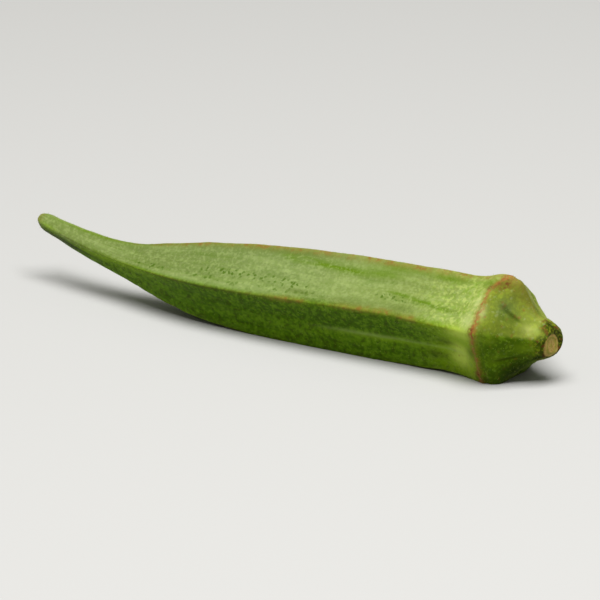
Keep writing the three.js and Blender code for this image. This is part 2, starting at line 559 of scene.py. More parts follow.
# %% Relief of the body
RIB_HEIGHT = 0.2 * MM
SEAM_HEIGHT = 0.06 * MM
FURROW_DEPTH = 0.24 * MM
FIBRE_HEIGHT = 0.14 * MM
SEED_SPACING = 6.6 * MM
SEED_HEIGHT = 0.05 * MM


def along_skin(flow, drawn_out):
    """Unrolled skin coordinates, drawn out lengthwise by this factor."""
    x, y, z = parts_of(flow)
    return vector_of(flow.tree, x, y, z / drawn_out)


def body_relief(distance, from_ridge, face, flow):
    on_body = stretch(distance, 14, 22, 96, 124)
    knobbles = cloud(flow, 1.3) + 0.3
    ridge_rib = bump(from_ridge, 0, 0.055) * knobbles * RIB_HEIGHT
    seam = bump(from_ridge, 1, 0.03) * SEAM_HEIGHT
    furrow_depth = lumpy(along_skin(flow, 22), 3.2, 0.45, 0.75)
    off_beak = before(distance, 76, 102) * 0.85 + 0.15
    furrows = furrow_depth * smooth_step(from_ridge, 0.12, 0.4) * -FURROW_DEPTH * off_beak
    fibres = (cloud(along_skin(flow, 8), 0.9, detail=3) - 0.5) * FIBRE_HEIGHT * off_beak
    seed_wave = (distance * (math.tau / SEED_SPACING) + face * 2.1).join("SINE")
    seeds = seed_wave * bump(from_ridge, 0.72, 0.25) * SEED_HEIGHT
    return (ridge_rib + seam + furrows + fibres + seeds) * on_body


print("body relief ready")

# %% Relief of the cap
DIMPLE_DEPTH = 0.24 * MM
CREASE_DEPTH = 0.4 * MM
CREASE_START = 0.7  # where across a face the fold would reach the stem's end
CREASE_SLANT = 26  # how much of a face it crosses in a metre
CREASE_CHANGE = 0.08  # how much it differs from face to face
PUCKER_HEIGHT = 0.34 * MM


def cap_crease(distance, face, across):
    """A short fold that runs down the cap towards the stem, one on each face."""
    side = CREASE_START - distance * CREASE_SLANT + (face - 1).join("SINE") * CREASE_CHANGE
    return bump(across, side, 0.044) * bump(distance, 7.6 * MM, 1.7 * MM)


def cap_relief(distance, from_ridge, face, across, position):
    on_cap = stretch(distance, 2.6, 5, 10, 12)
    dimple = bump(from_ridge, 0.95, 0.4) * bump(distance, 8.4 * MM, 2.4 * MM) * -DIMPLE_DEPTH
    crease = cap_crease(distance, face, across) * -CREASE_DEPTH
    puckers = (cloud(position, 2.4, detail=2) - 0.5) * PUCKER_HEIGHT
    return (dimple + crease + puckers) * on_cap


print("cap relief ready")

# %% Relief of the rim and the stem
GROOVE_DEPTH = 0.2 * MM
WELT_ROUGHNESS = 0.5 * MM
CORNER_HEIGHT = 0.25 * MM
BARK_HEIGHT = 0.4 * MM
PITH_DEPTH = 0.25 * MM
EDGE_HEIGHT = 0.12 * MM
LUMP_HEIGHT = 0.5 * MM


def plain_corner(ridges_passed):
    """0 at the topmost corner of the rim, which has no welt, and 1 all round it."""
    return 1 - bump(ridges_passed, 1, 0.16) * 0.75


def rim_relief(distance, from_ridge, ridges_passed, flow):
    """The groove on the cap's side of the rim, and the welt's own roughness."""
    groove = bump(distance, RIM_DISTANCE - 1.1 * MM, 0.45 * MM) * -GROOVE_DEPTH
    rough = (cloud(flow, 1.1, detail=3) - 0.5) * bump(distance, RIM_DISTANCE, 0.8 * MM)
    corner = bump(from_ridge, 0, 0.16) * bump(distance, RIM_DISTANCE + 0.4 * MM, 0.9 * MM)
    raised = rough * WELT_ROUGHNESS + corner * CORNER_HEIGHT
    return groove + raised * plain_corner(ridges_passed)


def stem_relief(distance, ridge_radius, position):
    """Knobbly bark, and a cut face with a dry edge and a sunken pith."""
    on_stem = stretch(distance, 0, 0.6, 3.5, 5.5)
    bark = (cloud(position, 1.1, detail=3) - 0.5) * BARK_HEIGHT * on_stem
    on_cut = before(distance, 0.0, 0.12)
    pith = bump(ridge_radius, 0, 1.1 * MM) * -PITH_DEPTH
    edge = bump(ridge_radius, 2.3 * MM, 0.35 * MM) * EDGE_HEIGHT
    return bark + (pith + edge) * on_cut


def whole_relief(distance, from_ridge, face, across, flow, ridge_radius, position):
    lumps = (cloud(position, 9) - 0.5) * beyond(distance, 4, 12) * LUMP_HEIGHT
    return (lumps + body_relief(distance, from_ridge, face, flow)
            + cap_relief(distance, from_ridge, face, across, position)
            + rim_relief(distance, from_ridge, face + across, flow)
            + stem_relief(distance, ridge_radius, position))


print("rim and stem relief ready")

# %% [markdown]
# ## Marks on the skin
#
# The marks on this pod's skin are soft spots at given places, which the material paints
# later; some of them are no marks of the skin but painted shade and a painted highlight. Each is
# stored on the points as one number, from 0 off the spot to 1 in its middle.

# %% Marks on the skin
RUBBED_STRIPES = [  # start and end, each as distance in mm and ridges passed; half width
    ((63, 1.16), (44, 1.3), 0.065), ((35, 1.59), (20, 1.73), 0.05),
]
SKIN_PATCHES = {  # distance and half length, mm; ridges passed and half width
    "scar": [(13.4, 2.6, 0.98, 0.08)],
    "lens": [(17.4, 2.6, 2.4, 0.17), (18.0, 2.4, 2.66, 0.15), (16.4, 3.2, 2.05, 0.1)],
    # painted shade in hollows by the rim, along the second ridge and under the beak
    "painted_shade_spots": [(14.2, 1.4, 2.37, 0.12), (21.0, 2.5, 2.33, 0.06), (24.5, 2.5, 2.68, 0.09),
               (12.4, 1.6, 2.86, 0.13), (82, 16, 2.02, 0.04), (111, 12, 1.98, 0.05),
               (121, 8, 2.45, 0.12)],
    # painted shade under the beak, near the floor
    "painted_shade_under_beak": [(127, 6, 2.78, 0.36), (119, 6, 2.52, 0.2)],
    # lighter green on the lower faces; beside the second ridge at 104 mm it is painted light
    # where the skin turns upward
    "lighter_green": [(16.6, 3.4, 2.2, 0.14), (22, 2.4, 2.5, 0.09), (36, 12, 2.54, 0.06),
              (104, 9, 2.1, 0.12), (113, 7, 2.22, 0.2), (128, 3, 2.05, 0.25)],
    "banded": [(40, 6, 1.25, 0.09), (35, 7, 1.1, 0.07), (24, 4, 1.12, 0.05),
               (15.4, 1.8, 1.15, 0.07), (114, 13, 1.04, 0.1)],
    "browned": [(13.0, 1.2, 1.2, 0.08), (11.6, 1.1, 1.1, 0.09), (14.5, 0.8, 1.24, 0.05)],
    # painted shade where the upper face turns away from the light before the second ridge, and a
    # duller crest along the top ridge
    "crest_shade_and_dull": [(31.5, 4.5, 1.86, 0.08), (44, 7, 1.89, 0.07), (57.5, 3.5, 1.85, 0.06),
                   (62, 24, 1.07, 0.06)],
    "pale_crest": [(70, 14, 1.93, 0.05), (71, 6, 1.8, 0.08), (89, 7, 1.9, 0.06),
                   (112, 7, 1.6, 0.14)],
    # cream skin beside the rim; the spot at 2.3 mm widens the painted highlight on the neck
    "creamy": [(15.2, 1.6, 1.84, 0.12), (14.6, 1.0, 1.52, 0.12), (12.4, 1.0, 1.68, 0.12),
               (2.3, 0.7, 1.62, 0.12)],
    # a painted highlight on the neck
    "pale": [(4.0, 1.0, 1.66, 0.16)],
    "bare": [(1.9, 1.4, 1.67, 0.2)],
    # olive-tan skin on the cap's far face, darkened further as painted shade over its lit edge
    "tanned_and_shaded": [(8.4, 3.6, 0.88, 0.28)],
    "cool": [(8.9, 1.7, 1.45, 0.2)],
    # painted shade on the cap's upper faces and its far edge
    "painted_cap_shade": [(7.2, 1.6, 1.6, 0.11), (7.2, 2.4, 1.82, 0.12), (10.8, 1.4, 1.94, 0.08),
                 (8.8, 3.0, 0.92, 0.14), (5.0, 2.6, 0.88, 0.12)],
    # lighter green patches on the lower side of the cap
    "lighter_cap": [(4.2, 2.4, 2.32, 0.2), (9.6, 1.2, 2.08, 0.08), (9.0, 1.4, 2.5, 0.12)],
    # painted shade under the cap and stem, and on the stem's top edge
    "painted_shade_cap_stem": [(6.8, 3.2, 2.98, 0.34), (2.1, 1.8, 2.9, 0.16), (0.9, 0.9, 1.0, 0.13)],
    # painted shade on the lower faces, below the second ridge
    "painted_shade_lower_faces": [(70, 30, 2.26, 0.26), (80, 12, 2.52, 0.16), (31, 12, 2.26, 0.2),
              (52, 16, 2.36, 0.17)],
    "rim_lag": [(13.5, 3, 1.27, 0.15)],
    "rusty": [(12.0, 1.4, 1.15, 0.09), (13.4, 1.0, 1.97, 0.06), (13.2, 1.0, 2.8, 0.08)],
    "peppered": [(57, 5, 1.9, 0.06), (58, 4, 1.75, 0.06), (66, 5, 1.67, 0.06),
                 (76, 7, 1.65, 0.08), (69, 6, 1.88, 0.05), (80, 5, 1.83, 0.06),
                 (97, 5, 1.8, 0.09), (35, 4, 1.68, 0.06)],
    "worn": [(30, 26, 1.03, 0.06), (80, 26, 1.02, 0.06), (59.5, 4, 2.0, 0.05),
             (43, 4, 1.98, 0.05), (36, 3.5, 1.97, 0.05), (29, 2, 1.98, 0.05)],
}


print("marks:", sum(len(spots) for spots in SKIN_PATCHES.values()))

# %% Where the marks lie
def painted_lit_side(distance, ridges_passed):
    """Share of painted light: 1 on the two upper faces, painted paler as lit from above, 0 on the
    lower faces, painted deep green as in shade; soft over the ridges.
    """
    reached = ridges_passed - beyond(distance, 96, 122) * 0.2
    return smooth_step(reached, 2.015, 1.895) * smooth_step(ridges_passed, 0, 0.15)


def rubbed_stripes(distance, ridges_passed):
    """Two long marks on the upper face, where the down is rubbed off."""
    marks = 0.0
    for (start, start_place), (end, end_place), half_width in RUBBED_STRIPES:
        share = (distance - start * MM) / ((end - start) * MM)
        place = between(start_place, end_place, share)
        ends = smooth_step(share, -0.25, 0.1) * smooth_step(share, 1.2, 0.85)
        marks = marks + bump(ridges_passed - place, 0, half_width) * ends
    return marks


def patches(distance, ridges_passed, spots):
    """Soft-edged patches of skin, each round one place."""
    covered = 0.0
    for place in spots:
        covered = covered + spot(distance, ridges_passed, *place)
    return covered


print("mark helpers ready")

# %% [markdown]
# ## Growing the skin
#
# The tree runs in this order: rings along the backbone, the five-sided form, the rim's welt,
# the relief pushed out along the surface's own direction, and last the flat spots where the
# pod's weight rests, made by lifting every point that would sink below the floor.

# %% Rings
POINTS_ROUND = 250


def swept_rings(tree, backbone, points_round):
    """Rings along the backbone, each point with its place from 0 to 1 round the pod."""
    line = step(tree, "GeometryNodeMeshToCurve", {0: backbone})
    circle = step(tree, "GeometryNodeCurvePrimitiveCircle", {"Resolution": points_round})
    index = step(tree, "GeometryNodeInputIndex")
    circle = store(tree, circle, "place", index / points_round)
    rings = step(tree, "GeometryNodeCurveToMesh", {"Curve": line, "Profile Curve": circle})
    return step(tree, "GeometryNodeFlipFaces", {"Mesh": rings})


def across_direction(tree, angle):
    """Unit vector from the centreline to the skin."""
    toward_stem = named(tree, "toward_stem", "FLOAT_VECTOR")
    upward = vector_of(tree, 0, 0, 1)
    side = upward.join("CROSS_PRODUCT", toward_stem).join("NORMALIZE")
    up = toward_stem.join("CROSS_PRODUCT", side)
    return side * angle.join("COSINE") + up * angle.join("SINE")


print("rings of", POINTS_ROUND, "points")

# %% Skin tree
FACES = 5
CREST_CROWDING = 0.35  # how much closer the points stand near a ridge
RIM_HEIGHT = 0.35 * MM
RIM_HALF_WIDTH = 0.45 * MM
FLOW_RADIUS = 10 * MM  # the unrolled skin is read on a tube of this radius
WELD = 0.002 * MM
SKIN_INPUTS = {"Points round": POINTS_ROUND, "Rim height": RIM_HEIGHT, "Relief": 1.0,
               "Seed": 0.037, "Material": None}


def make_skin_tree():
    tree, given = new_tree("okra_pod_skin", SKIN_INPUTS)
    skin = swept_rings(tree, given["Geometry"], given["Points round"])

    distance = named(tree, "distance")
    ridge_radius = named(tree, "ridge_radius")
    faces_passed = named(tree, "place") * FACES
    face = faces_passed.join("FLOOR")
    even = faces_passed.join("FRACT")
    across = even - (even * math.tau).join("SINE") * (CREST_CROWDING / math.tau)
    from_ridge = 1 - (across * 2 - 1).join("ABSOLUTE")
    angle = section_angle(distance, face, across)

    welt = bump(distance, RIM_DISTANCE, RIM_HALF_WIDTH) * plain_corner(face + across)
    welt = welt * given["Rim height"]
    on_face = beyond(ridge_radius, 0, 0.4)
    share = section_share(from_ridge, hollow_at(distance) * on_face)
    radius = (ridge_radius + welt) * share + swelling(distance, face + across)
    along = rim_shift(distance, face, across) + cut_shift(distance, radius * angle.join("COSINE"))
    droop = smooth_step(distance, DROOP_REACH, 0) * STEM_DROOP
    centre = named(tree, "centre", "FLOAT_VECTOR") - vector_of(tree, 0, 0, droop)
    centre = centre + named(tree, "toward_stem", "FLOAT_VECTOR") * along
    placed = centre + across_direction(tree, angle) * radius
    skin = step(tree, "GeometryNodeSetPosition", {"Geometry": skin, "Position": placed})

    flow = vector_of(tree, angle.join("COSINE") * FLOW_RADIUS,
                     angle.join("SINE") * FLOW_RADIUS, distance)
    skin = store(tree, skin, "flow", flow, "FLOAT_VECTOR")
    marks = {"from_ridge": from_ridge,
             "lit_side": painted_lit_side(distance, face + across),
             "rubbed": rubbed_stripes(distance, face + across),
             "crease": cap_crease(distance, face, across)}
    for name, spots in SKIN_PATCHES.items():
        marks[name] = patches(distance, face + across, spots)
    for name, mark in marks.items():
        skin = store(tree, skin, name, mark)
    flow = named(tree, "flow", "FLOAT_VECTOR") + vector_of(tree, 0, 0, given["Seed"])
    position = step(tree, "GeometryNodeInputPosition")
    relief = whole_relief(distance, named(tree, "from_ridge"), face, across, flow,
                          ridge_radius, position) * given["Relief"]
    skin = store(tree, skin, "relief", relief / MM)
    skin = step(tree, "GeometryNodeMergeByDistance", {"Geometry": skin, "Distance": WELD})
    normal = step(tree, "GeometryNodeInputNormal")
    skin = step(tree, "GeometryNodeSetPosition",
                {"Geometry": skin, "Offset": normal * (named(tree, "relief") * MM)})
    for spent in ("centre", "toward_stem", "place"):
        skin = step(tree, "GeometryNodeRemoveAttribute", {"Geometry": skin, "Name": spent})
    end_tree(tree, skin, given["Material"])
    return tree


skin_tree = make_skin_tree()
print("skin tree nodes:", len(skin_tree.nodes))

# %% [markdown]
# ## Skin colour
#
# Fresh okra is not one green. The stem's edge is brown-green, the cap yellow-green, the skin
# beside the rim almost cream, the body leaf green, and the beak a little cooler. A colour
# ramp along the pod holds this sequence twice: once for the lower faces, painted the deep
# green of shade, and once for the upper faces, painted paler and greyer as lit from above.
# Colours are written from 0 to 255 and turned into the linear values that light needs.

# %% Colours along the pod
def paint(red, green, blue):
    """A palette colour, each part from 0 to 255, as linear light."""
    parts = []
    for part in (red / 255, green / 255, blue / 255):
        parts.append(part / 12.92 if part <= 0.04045 else ((part + 0.055) / 1.055)**2.4)
    return (*parts, 1.0)


# painted shade: the lower faces' palette, deep green as in shade
SHADED_BY_DISTANCE = [  # mm from the cut face, and the colour there
    (0.0, 44, 50, 6), (0.7, 48, 58, 6), (1.5, 62, 76, 8),
    (2.6, 84, 104, 12), (5.0, 62, 86, 2), (10.4, 60, 86, 2),
    (12.6, 86, 106, 10), (14.6, 126, 152, 20), (19.0, 116, 146, 6),
    (30.0, 82, 118, 6), (62.0, 82, 118, 4), (90.0, 78, 116, 10),
    (104.0, 88, 122, 14), (122.0, 82, 116, 22), (130.0, 108, 132, 48),
    (132.6, 120, 116, 52),
]
# painted light: the upper faces' palette, paler and greyer as lit from above
LIT_SIDE_BY_DISTANCE = [
    (0.0, 48, 54, 8), (0.9, 56, 68, 8), (1.7, 80, 96, 20),
    (2.6, 122, 132, 54), (5.0, 120, 132, 52), (7.2, 104, 116, 38),
    (10.6, 100, 112, 30), (12.8, 112, 122, 42), (14.8, 138, 154, 72),
    (19.0, 126, 143, 69), (30.0, 117, 132, 71), (46.0, 116, 132, 74),
    (62.0, 108, 125, 71), (96.0, 106, 122, 66), (118.0, 108, 124, 66),
    (130.0, 112, 128, 68), (132.6, 122, 120, 60),
]

print("stops along the pod:", len(SHADED_BY_DISTANCE), "and", len(LIT_SIDE_BY_DISTANCE))

# %% Colours of the marks
PALE_DOWN = paint(150, 166, 104)
LEAF_LIGHT = paint(104, 140, 26)
DEEP_GREEN = paint(50, 84, 2)
MOSS = paint(82, 108, 30)
PEPPER_GREEN = paint(66, 92, 20)
RUBBED_GREEN = paint(84, 112, 18)
# near-black painted shade
PAINTED_SHADE_GREEN = paint(14, 28, 0)
# painted shade on the lower faces
LOWER_SHADE_GREEN = paint(50, 82, 0)
DARK_RUST = paint(92, 46, 26)
CAP_LIGHT = paint(136, 156, 44)
CREST_BROWN = paint(122, 112, 46)
RUST = paint(124, 68, 36)
ROSE = paint(146, 88, 50)
TAN = paint(136, 122, 62)
SPECK_GOLD = paint(140, 152, 36)
CREAM = paint(178, 190, 108)
DRY_FIBRE = paint(160, 140, 76)
CUT_GREEN = paint(112, 122, 34)
BARE_GREEN = paint(138, 154, 62)
# painted shade beside the ridges
RIDGE_SIDE_SHADE = paint(40, 70, 0)
# blotches on the skin, and painted shade in hollows and creases
BLOTCH_AND_SHADE_BROWN = paint(46, 58, 6)
PALE_SPECK = paint(150, 158, 112)
OLD_FIBRE = paint(134, 106, 56)
CAP_DOTS = [  # colour, size in mm, share, seed, strength on the painted lit side, strength anywhere
    (SPECK_GOLD, 0.9, 0.35, 0.5, 0.18, 0.14), (PALE_SPECK, 0.8, 0.4, 0.8, 0.25, 0.08),
    (RUST, 1.0, 0.3, 0.3, 0.25, 0.25),
]
# Some patches here are painted shade, in hollows, under the cap and beak and beside the ridges,
# and one is a painted highlight on the neck.
PATCH_PAINTS = {  # colour and strength
    "lens": (paint(168, 190, 74), 1.1), "painted_shade_spots": (BLOTCH_AND_SHADE_BROWN, 0.6),
    "painted_shade_under_beak": (paint(18, 34, 0), 0.8), "lighter_green": (paint(122, 156, 20), 0.55),
    "banded": (RUBBED_GREEN, 0.75), "browned": (paint(90, 74, 22), 0.75),
    "crest_shade_and_dull": (paint(84, 100, 42), 0.7), "pale_crest": (PALE_DOWN, 0.3),
    "creamy": (paint(186, 194, 136), 0.4), "pale": (paint(166, 172, 98), 0.55),
    "tanned_and_shaded": (paint(108, 102, 38), 0.8), "cool": (paint(102, 118, 72), 0.4),
    "painted_cap_shade": (paint(76, 90, 24), 0.65), "lighter_cap": (paint(108, 134, 20), 0.5),
}

print("painted patches:", len(PATCH_PAINTS))

# %% [markdown]
# ## Material helpers
#
# The same Wire formulas write materials. Four extra steps are needed: reading what the
# Geometry Nodes stored, mixing two colours, looking a colour up on a ramp, and feeding the
# shader. The first gets a small class, so that every pattern reads its place the same way.

# %% Material helpers
def new_material(name):
    """A material with one Principled shader."""
    material = bpy.data.materials.new(name)
    material.use_nodes = True
    return material


def finish_material(material, inputs):
    """Feed the shader's inputs, each with a plain value or a wire."""
    tree = material.node_tree
    for name, part in inputs.items():
        plug(tree, tree.nodes["Principled BSDF"].inputs[name], part)
    return material


class SkinPlace:
    """What a pattern may ask about its place on the skin, as wires."""

    def __init__(self, tree):
        self.tree = tree
        self.position = Wire(tree, tree.nodes.new("ShaderNodeTexCoord").outputs["Object"])
        self.flow = self.mark("flow", "Vector")
        self.distance = parts_of(self.flow)[2]
        self.from_ridge = self.mark("from_ridge")
        # share of painted light: 1 on the upper faces, 0 on the lower ones
        self.lit_side = self.mark("lit_side")

    def mark(self, name, output="Fac"):
        """A value that the skin tree stored under this name."""
        node = add_node(self.tree, "ShaderNodeAttribute", attribute_name=name)
        return Wire(self.tree, node.outputs[output])


def mix(share, start, end):
    """A colour between start and end."""
    node = add_node(share.tree, "ShaderNodeMix", {0: share, 6: start, 7: end}, data_type="RGBA")
    return Wire(share.tree, node.outputs[2])


def ramp(share, stops):
    """A colour looked up on a ramp of (place, colour) stops."""
    node = add_node(share.tree, "ShaderNodeValToRGB", {0: share})
    elements = node.color_ramp.elements
    while len(elements) < len(stops):
        elements.new(1.0)
    for element, (place, colour) in zip(elements, stops):
        element.position = place
        element.color = colour
    return Wire(share.tree, node.outputs[0])


print("material helpers ready")

# %% [markdown]
# ## The skin
#
# The pattern is built in layers, like paint: the base by distance, with painted light on the
# upper faces and painted shade on the lower ones, fine lengthwise streaks, painted shade in the
# furrows, pale speckle where hairs are thick, blotches on the shaded faces, dots, the single
# patches that this pod has, among them painted shade in hollows and under the cap and beak and
# a painted highlight on the neck, a pale worn line with rusty flecks along each ridge, a rosy
# line on the rim, the bark of the stem and its cut face. Each layer is a function that yields
# its coats, how much each covers and in what colour, so one loop can lay them all. A small
# bump adds what is finer than the mesh. The soft haze of a downy skin is the shader's sheen,
# and the subsurface setting lets a little light through the watery flesh.

# %% Base colour and streaks
def base_colour(at):
    wander = (cloud(at.flow, 5) - 0.5) * (3 * MM) * beyond(at.distance, 14, 30)
    place = (at.distance + wander) / pod_length
    sides = []
    for colours in (SHADED_BY_DISTANCE, LIT_SIDE_BY_DISTANCE):
        stops = [(min(mm * MM / pod_length, 1), paint(*tone)) for mm, *tone in colours]
        sides.append(ramp(place, stops))
    # painted light and shade: the lit palette on the upper faces, the shaded one on the lower
    return mix(at.lit_side, *sides)


def streaked(at):
    """Soft pale and dark stretches along the body, painted shade on the lower faces, and the
    rubbed marks.
    """
    pale = lumpy(along_skin(at.flow, 6), 3, 0.5, 0.7, detail=3)
    dark = lumpy(along_skin(at.flow, 12), 1.6, 0.56, 0.72, detail=3)
    on_body = beyond(at.distance, 12, 20)
    yield pale * on_body * 0.3, mix(at.lit_side, LEAF_LIGHT, PALE_DOWN)
    yield dark * on_body * 0.35, mix(at.lit_side, DEEP_GREEN, MOSS)
    # painted shade: deeper green beside the ridges on the lower faces
    beside = bump(at.from_ridge, 0.36, 0.24) * beyond(at.distance, 20, 34)
    yield beside * (1 - at.lit_side) * 0.4, RIDGE_SIDE_SHADE
    # painted shade on the lower faces
    yield at.mark("painted_shade_lower_faces") * 0.55, LOWER_SHADE_GREEN
    broken = lumpy(along_skin(at.flow, 5), 1.2, 0.3, 0.6, detail=2)
    yield at_most_one(at.mark("rubbed") * (broken * 0.7 + 0.3)), RUBBED_GREEN


def furrow_shade(at):
    """Painted shade: the hollows of the relief get a deeper green."""
    yield smooth_step(at.mark("relief"), -0.08, -0.34) * 0.45, DEEP_GREEN


print("base layers ready")

# %% Grain, blotches, dots and patches
def grained(at):
    """The fine grain of short hairs, pale over deep green."""
    lumps = cloud(at.position, 0.6, detail=1) * 0.5 + cloud(at.position, 1.3) * 0.5
    light = smooth_step(lumps, 0.5, 0.6) * beyond(at.distance, 1, 4)
    on_cap = before(at.distance, 12.5, 14)
    pale = mix(at.lit_side, LEAF_LIGHT, mix(on_cap, PALE_DOWN, CAP_LIGHT))
    yield light * (0.42 - at.lit_side * 0.14), pale
    dark = smooth_step(lumps, 0.5, 0.4) * (0.46 - at.lit_side * 0.24)
    yield dark, mix(at.lit_side, DEEP_GREEN, MOSS)


def blotched(at):
    """Small light and dark blotches on the shaded faces of the body."""
    shaded = beyond(at.distance, 14, 30) * (1 - at.lit_side)
    patchy = cloud(at.position, 1.0, detail=3)
    yield smooth_step(patchy, 0.53, 0.65) * shaded * 0.34, LEAF_LIGHT
    yield smooth_step(patchy, 0.49, 0.34) * shaded * 0.55, BLOTCH_AND_SHADE_BROWN


def dotted(at):
    """Green dots in loose patches, and gold, pale and rusty ones on the cap."""
    dots = at_most_one(specks(at.position, 1.0, 0.9, 0.2) * at.mark("peppered") * 2.6)
    yield dots * 0.9, PEPPER_GREEN
    on_cap = stretch(at.distance, 0.2, 1, 12, 14)
    for tone, size, share, seed, when_lit, always in CAP_DOTS:
        dots = specks(at.position, size, share, seed) * on_cap
        yield dots * (at.lit_side * when_lit + always), tone


def mottled(at):
    """Cream flecks on the skin that spreads towards the rim."""
    near_rim = stretch(at.distance, 12.8, 14, 17, 36)
    flecks = lumpy(at.position, 0.8, 0.5, 0.62, detail=1)
    greener = lumpy(at.position, 0.9, 0.48, 0.36, detail=1)
    yield near_rim * flecks * (at.lit_side * 0.3 + 0.1), CREAM
    yield near_rim * greener * (at.lit_side * 0.15 + 0.2), LEAF_LIGHT


def patched(at):
    """The patches that are only colour, painted shade and a painted highlight among them, broken
    up by the skin's grain, and painted shade in the cap's folds.
    """
    grain = cloud(at.position, 0.9) + 0.5
    for name, (tone, strength) in PATCH_PAINTS.items():
        yield at_most_one(at.mark(name) * grain * strength), tone
    specked = specks(at.position, 0.8, 0.35, 0.6) * at.mark("lens")
    yield specked * 0.5, TAN
    # painted shade in the cap's crease
    yield at.mark("crease") * 0.7, BLOTCH_AND_SHADE_BROWN


print("grain layers ready")

# %% Ridges, rim and stem
def seamed(at):
    """The faint pale seam down the middle of each face."""
    broken = lumpy(along_skin(at.flow, 10), 4, 0.34, 0.56)
    on_body = stretch(at.distance, 14, 20, 42, 58)
    seam = bump(at.from_ridge, 1, 0.09) * broken * on_body * (1 - at.lit_side)
    yield seam * 0.3, PALE_DOWN


def ridged(at):
    """The worn, brownish crest of each ridge, with rusty flecks."""
    on_body = stretch(at.distance, 14, 24, 88, 110)
    crest = bump(at.from_ridge, 0, 0.07) * on_body * 0.2 + at.mark("worn") * 0.8
    broken = lumpy(at.position, 3, 0.34, 0.6, detail=3)
    yield crest * (broken * 0.45 + 0.35), CREST_BROWN
    flecks = lumpy(at.position, 1.1, 0.5, 0.6, detail=2)
    yield crest * broken * flecks * 0.6, RUST


def rimmed(at):
    """The rosy line along the rim, strongest at the ridges, and one broad tan scar."""
    scar = at.mark("scar")
    wavy = at.distance + (cloud(at.flow, 2.2, detail=3) - 0.5) * (1.4 * MM)
    line = bump(wavy - at.mark("rim_lag") * MM, RIM_DISTANCE + 0.4 * MM, 0.65 * MM)
    line = line * (0.65 + bump(at.from_ridge, 0, 0.2) * 0.4)
    grain = cloud(at.position, 0.7, detail=2)
    yield at_most_one(scar * (grain * 0.8 + 0.4)), TAN
    yield line * smooth_step(grain, 0.32, 0.5), ROSE
    yield (line + scar * 0.8) * smooth_step(grain, 0.52, 0.6) * 0.6, RUST


def barked(at):
    """The mottled bark of the stem, painted shade under the cap and on the stem, and dark rusty
    spots.
    """
    on_stem = before(at.distance, 1.8, 3.4)
    grain = cloud(at.position, 0.55, detail=1)
    yield smooth_step(grain, 0.52, 0.62) * on_stem * 0.35, SPECK_GOLD
    spots = lumpy(at.position, 1.0, 0.58, 0.66, detail=1)
    yield spots * on_stem * 0.7, DARK_RUST
    yield at.mark("bare") * 0.8, BARE_GREEN
    # painted shade under the cap and stem
    yield at.mark("painted_shade_cap_stem") * 0.88, PAINTED_SHADE_GREEN
    broken = lumpy(at.position, 0.8, 0.46, 0.56)
    yield at.mark("rusty") * broken * 0.9, DARK_RUST


def cut_face(at):
    """Dry tan fibre on the stem's cut face, inside a darker edge."""
    side, up, _ = parts_of(at.flow)
    ridge_radius = at.mark("ridge_radius")
    side = side * ridge_radius / FLOW_RADIUS + 0.75 * MM
    up = (up * ridge_radius / FLOW_RADIUS + 0.7 * MM) * 0.8
    from_pith = (side * side + up * up).join("SQRT")
    on_cut = before(at.distance, 0.4, 0.9) * before(from_pith, 1.8, 2.1)
    fibre = mix(lumpy(at.position, 0.4, 0.4, 0.7, detail=3), DRY_FIBRE, OLD_FIBRE)
    ring = bump(from_pith, 1.35 * MM, 0.2 * MM) + bump(from_pith, 0, 0.35 * MM)
    yield on_cut, mix(ring * 0.6, fibre, CUT_GREEN)


print("ridge, rim and stem layers ready")

# %% Skin material
LAYERS = (streaked, furrow_shade, grained, blotched, dotted, mottled, patched,
          seamed, ridged, rimmed, barked, cut_face)
SKIN_FINISH = {
    "Specular IOR Level": 0.08, "Specular Tint": (0.8, 1.0, 0.2, 1.0),
    "Sheen Weight": 0.1, "Sheen Roughness": 0.4, "Sheen Tint": (0.85, 0.95, 0.2, 1.0),
    "Subsurface Weight": 0.12, "Subsurface Radius": (0.6, 1.0, 0.25),
    "Subsurface Scale": 1 * MM,
}
FINE_BUMP_DEPTH = 0.12 * MM


def fine_bump(at):
    """Grain and lengthwise fibres that are finer than the mesh."""
    grain = cloud(at.position, 0.3, detail=2)
    fibres = cloud(along_skin(at.flow, 12), 0.4, detail=2)
    height = grain * 0.5 + fibres * beyond(at.distance, 13, 18) * 0.5
    return step(at.tree, "ShaderNodeBump",
                {"Strength": 0.6, "Distance": FINE_BUMP_DEPTH, "Height": height})


def make_skin_material():
    material = new_material("pod_skin")
    at = SkinPlace(material.node_tree)
    colour = base_colour(at)
    for layer in LAYERS:
        for share, tone in layer(at):
            colour = mix(share, colour, tone)
    return finish_material(material, {
        "Base Color": colour, "Normal": fine_bump(at),
        "Roughness": 0.46 + cloud(at.position, 1.2) * 0.2, **SKIN_FINISH,
    })


skin_material = make_skin_material()
print("skin material nodes:", len(skin_material.node_tree.nodes))

# %% [markdown]
# Now the tree can run. The backbone object becomes the finished skin, a plain mesh at the
# origin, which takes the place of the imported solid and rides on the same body.

# %% Grow the skin
run_tree(pod_skin, skin_tree, {**SKIN_INPUTS, "Material": skin_material})
pod_skin.data.shade_smooth()
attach(pod_skin, "root")
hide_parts("okra_pod")
print("skin faces:", len(pod_skin.data.polygons))

# %% [markdown]
# ## The down
#
# Okra has very short soft hairs, thickest along the ridges and on the beak. A particle
# system could grow them, but such hairs aren't part of the mesh. Here each hair is a small
# spike with three sides, set on a scattered point and leaning a little at random, and all
# are made real as one light mesh.

